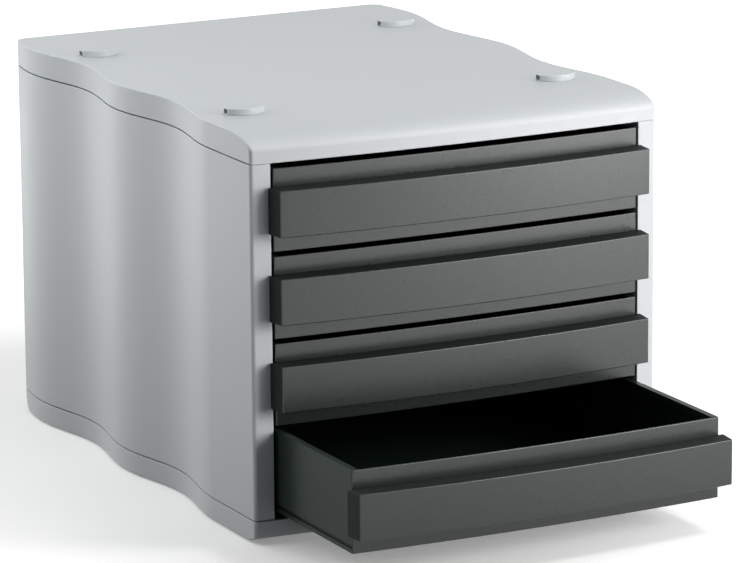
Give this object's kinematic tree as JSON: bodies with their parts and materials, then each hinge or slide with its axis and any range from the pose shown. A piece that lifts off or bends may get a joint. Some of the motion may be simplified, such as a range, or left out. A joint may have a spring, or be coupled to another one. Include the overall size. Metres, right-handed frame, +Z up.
{
  "type": "desk drawer cabinet",
  "caption": "Desk cabinet with wavy side walls, rounded cover with stacking studs, and a gently bowed front of letter-size drawers with grip bands; the bottom drawer is partly open.",
  "frame": {"origin": "on the supporting surface, below the middle of the bounding box with the bottom drawer pulled out as it is at rest", "axes": "+Z up, +Y from the drawer fronts to the rear panel, +X to the right seen from the front; the drawers open along -Y"},
  "size_m": [0.28, 0.4902, 0.2567],
  "materials": {
    "casing_plastic": "light grey satin moulding with a fine grain",
    "drawer_plastic": "anthracite satin moulding with a fine spark-eroded grain",
    "foot_rubber": "matt black"
  },
  "bodies": {
    "casing": {"cover": "casing_plastic", "base": "casing_plastic", "side_wall_left": "casing_plastic", "side_wall_right": "casing_plastic", "rear_panel": "casing_plastic", "runner_panel_left": "casing_plastic", "runner_panel_right": "casing_plastic", "stud_front_left": "casing_plastic", "stud_front_right": "casing_plastic", "stud_rear_left": "casing_plastic", "stud_rear_right": "casing_plastic", "foot_front_left": "foot_rubber", "foot_front_right": "foot_rubber", "foot_rear_left": "foot_rubber", "foot_rear_right": "foot_rubber"},
    "drawer_1": {"drawer_tray_1": "drawer_plastic", "drawer_front_1": "drawer_plastic"},
    "drawer_2": {"drawer_tray_2": "drawer_plastic", "drawer_front_2": "drawer_plastic"},
    "drawer_3": {"drawer_tray_3": "drawer_plastic", "drawer_front_3": "drawer_plastic"},
    "drawer_4": {"drawer_tray_4": "drawer_plastic", "drawer_front_4": "drawer_plastic"}
  },
  "joints": [
    {"name": "drawer_1_slide", "type": "slide", "parent": "casing", "child": "drawer_1", "axis": [0, -1, 0], "range_m": [0, 0.24]},
    {"name": "drawer_2_slide", "type": "slide", "parent": "casing", "child": "drawer_2", "axis": [0, -1, 0], "range_m": [0, 0.24]},
    {"name": "drawer_3_slide", "type": "slide", "parent": "casing", "child": "drawer_3", "axis": [0, -1, 0], "range_m": [0, 0.24]},
    {"name": "drawer_4_slide", "type": "slide", "parent": "casing", "child": "drawer_4", "axis": [0, -1, 0], "range_m": [-0.101, 0.139]}
  ]
}
